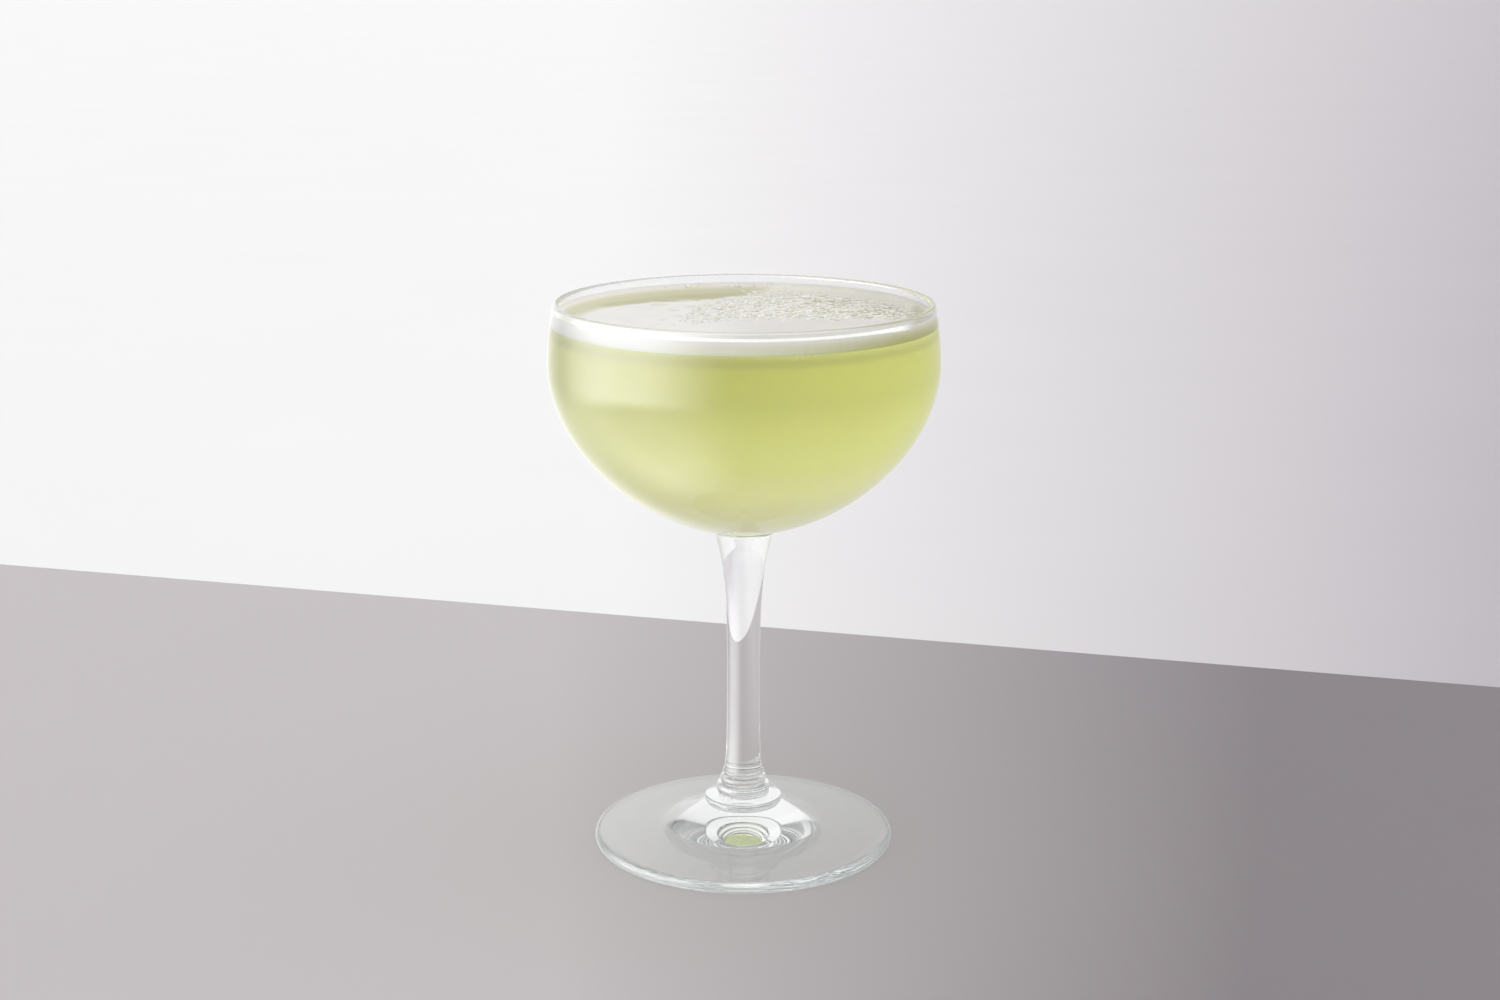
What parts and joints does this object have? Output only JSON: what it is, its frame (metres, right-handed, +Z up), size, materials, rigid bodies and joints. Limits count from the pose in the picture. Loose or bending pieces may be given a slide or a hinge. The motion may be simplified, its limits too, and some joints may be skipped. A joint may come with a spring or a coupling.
{
  "type": "daiquiri in a coupe glass",
  "caption": "Stemmed coupe glass filled nearly to the rim with a pale lime-green daiquiri, topped by thin froth with a raft of bubbles.",
  "frame": {"origin": "on the glass's axis, on the plane of the foot's resting ring", "axes": "+Z up the stem to the rim; +X to the right of the usual view; -Y towards the viewer"},
  "size_m": [0.0908, 0.0908, 0.1313],
  "materials": {
    "clear_glass": "polished, colourless with a faint green tint at the foot's edge",
    "lime_drink": "cloudy pale lime-green drink, wet and glossy",
    "white_froth": "fine cream-white froth with a raft of clear bubbles"
  },
  "bodies": {
    "root": {"glass": "clear_glass", "drink": "lime_drink", "froth": "white_froth"}
  },
  "joints": []
}
